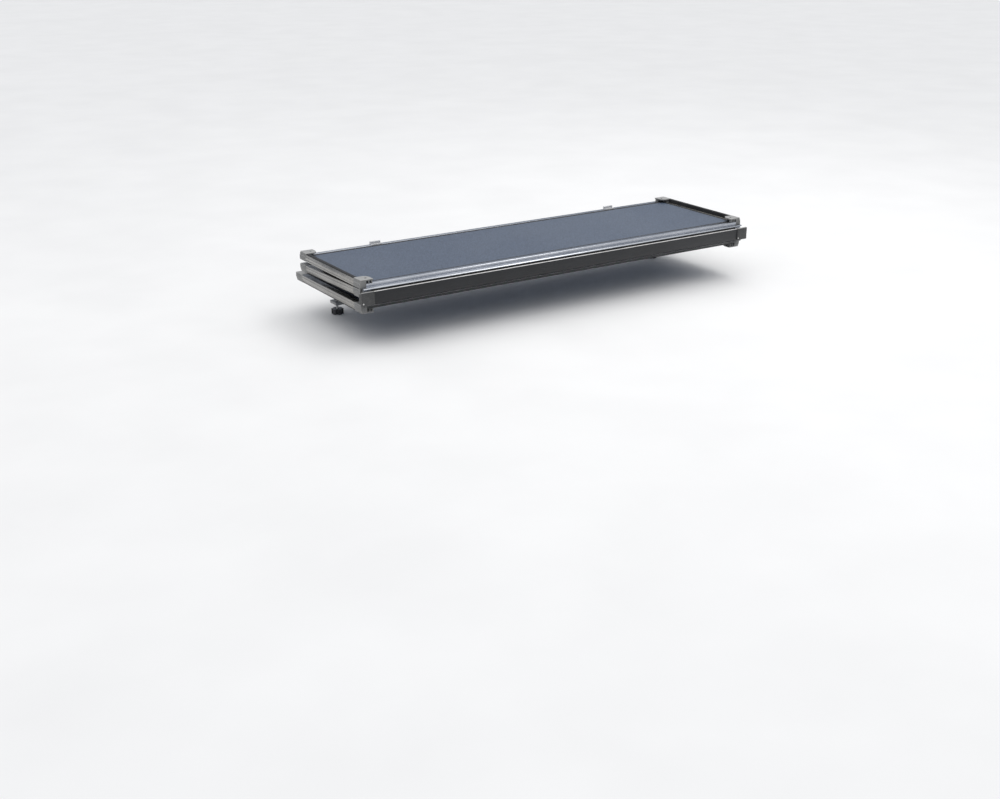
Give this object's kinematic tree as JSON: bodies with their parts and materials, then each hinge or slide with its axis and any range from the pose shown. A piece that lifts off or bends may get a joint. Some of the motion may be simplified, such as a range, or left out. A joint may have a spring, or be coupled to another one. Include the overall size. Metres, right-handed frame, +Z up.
{
  "type": "tonneau cover",
  "caption": "Hard folding truck-bed cover, folded up behind the cab: framed sandwich panels on bar and knuckle hinges, with screw clamps and slide-bolt latches.",
  "frame": {"origin": "middle of the bulkhead seal's flat underside, at the cover's cab end", "axes": "+X to the truck's right along the cover's width, +Y towards the cab, +Z up"},
  "size_m": [1.626, 0.5195, 0.224],
  "materials": {
    "panel_sheet": "matte",
    "honeycomb_core": "matte",
    "rail_black": "satin",
    "side_rail_satin": "satin",
    "bar_black": "satin",
    "corner_plastic": "matte",
    "cap_plastic": "matte",
    "tab_satin": "satin",
    "screw_black": "satin",
    "seal_rubber": "matte",
    "steel_zinc": "satin",
    "cast_grey": "matte",
    "latch_black": "matte",
    "black_plastic": "matte"
  },
  "bodies": {
    "front_panel": {"front_skin": "panel_sheet", "front_liner": "panel_sheet", "front_core": "honeycomb_core", "front_side_rail_right": "side_rail_satin", "front_side_rail_left": "side_rail_satin", "front_side_seals": "seal_rubber", "front_corners": "corner_plastic", "front_corner_screws": "screw_black", "front_hinge_rail": "bar_black", "front_bulkhead_rail": "rail_black", "bulkhead_seal": "seal_rubber", "clamp_bracket_left": "cast_grey", "clamp_bracket_right": "cast_grey", "clamp_bolts": "steel_zinc"},
    "hinge_bar": {"hinge_bar": "bar_black", "bar_end_cap_left": "cap_plastic", "bar_end_cap_right": "cap_plastic", "bar_cap_screws": "steel_zinc"},
    "middle_panel": {"middle_skin": "panel_sheet", "middle_liner": "panel_sheet", "middle_core": "honeycomb_core", "middle_side_rail_right": "side_rail_satin", "middle_side_rail_left": "side_rail_satin", "middle_side_seals": "seal_rubber", "middle_corners": "corner_plastic", "middle_corner_screws": "screw_black", "middle_hinge_rail": "rail_black", "middle_tail_rail": "rail_black", "tail_hinge_pin": "steel_zinc", "stow_tabs": "tab_satin", "stow_tab_screws": "steel_zinc"},
    "rear_panel": {"rear_skin": "panel_sheet", "rear_liner": "panel_sheet", "rear_core": "honeycomb_core", "rear_side_rail_right": "side_rail_satin", "rear_side_rail_left": "side_rail_satin", "rear_side_seals": "seal_rubber", "rear_corners": "corner_plastic", "rear_corner_screws": "screw_black", "rear_hinge_rail": "rail_black", "rear_tail_rail": "rail_black", "tailgate_seal": "seal_rubber", "latch_feet": "seal_rubber", "latch_housing_left": "latch_black", "latch_spring_left": "steel_zinc", "latch_housing_right": "latch_black", "latch_spring_right": "steel_zinc"},
    "clamp_jaw_left": {"clamp_jaw_left": "cast_grey", "clamp_pad_left": "seal_rubber"},
    "clamp_screw_left": {"clamp_screw_left": "steel_zinc", "clamp_knob_left": "black_plastic"},
    "latch_bolt_left": {"latch_bolt_left": "steel_zinc"},
    "clamp_jaw_right": {"clamp_jaw_right": "cast_grey", "clamp_pad_right": "seal_rubber"},
    "clamp_screw_right": {"clamp_screw_right": "steel_zinc", "clamp_knob_right": "black_plastic"},
    "latch_bolt_right": {"latch_bolt_right": "steel_zinc"}
  },
  "joints": [
    {"name": "bar_hinge", "type": "hinge", "parent": "front_panel", "child": "hinge_bar", "pos_m": [0, -0.49, 0.031], "axis": [1, 0, 0], "range_deg": [0, 90]},
    {"name": "fold_hinge", "type": "hinge", "parent": "hinge_bar", "child": "middle_panel", "pos_m": [0, -0.49, 0.079], "axis": [1, 0, 0], "range_deg": [0, 90]},
    {"name": "tail_hinge", "type": "hinge", "parent": "middle_panel", "child": "rear_panel", "pos_m": [0, -0.022, 0.075], "axis": [1, 0, 0], "range_deg": [-0.2, 0]},
    {"name": "clamp_jaw_left_slide", "type": "slide", "parent": "front_panel", "child": "clamp_jaw_left", "axis": [0, 0, -1], "range_m": [0, 0.01]},
    {"name": "clamp_knob_left_turn", "type": "hinge", "parent": "clamp_jaw_left", "child": "clamp_screw_left", "pos_m": [-0.7, -0.09, -0.06], "axis": [0, 0, 1], "range_deg": [0, 2885]},
    {"name": "latch_bolt_left_slide", "type": "slide", "parent": "rear_panel", "child": "latch_bolt_left", "axis": [1, 0, 0], "range_m": [0, 0.012], "stiffness_N_per_m": 400, "springref_m": -0.004},
    {"name": "clamp_jaw_right_slide", "type": "slide", "parent": "front_panel", "child": "clamp_jaw_right", "axis": [0, 0, -1], "range_m": [0, 0.01]},
    {"name": "clamp_knob_right_turn", "type": "hinge", "parent": "clamp_jaw_right", "child": "clamp_screw_right", "pos_m": [0.7, -0.09, -0.06], "axis": [0, 0, 1], "range_deg": [0, 2885]},
    {"name": "latch_bolt_right_slide", "type": "slide", "parent": "rear_panel", "child": "latch_bolt_right", "axis": [-1, 0, 0], "range_m": [0, 0.012], "stiffness_N_per_m": 400, "springref_m": -0.004}
  ],
  "couplings": [
    {"joint": "clamp_knob_left_turn", "follows": "clamp_jaw_left_slide", "rad_per_m": 5026.5},
    {"joint": "clamp_knob_right_turn", "follows": "clamp_jaw_right_slide", "rad_per_m": 5026.5}
  ]
}
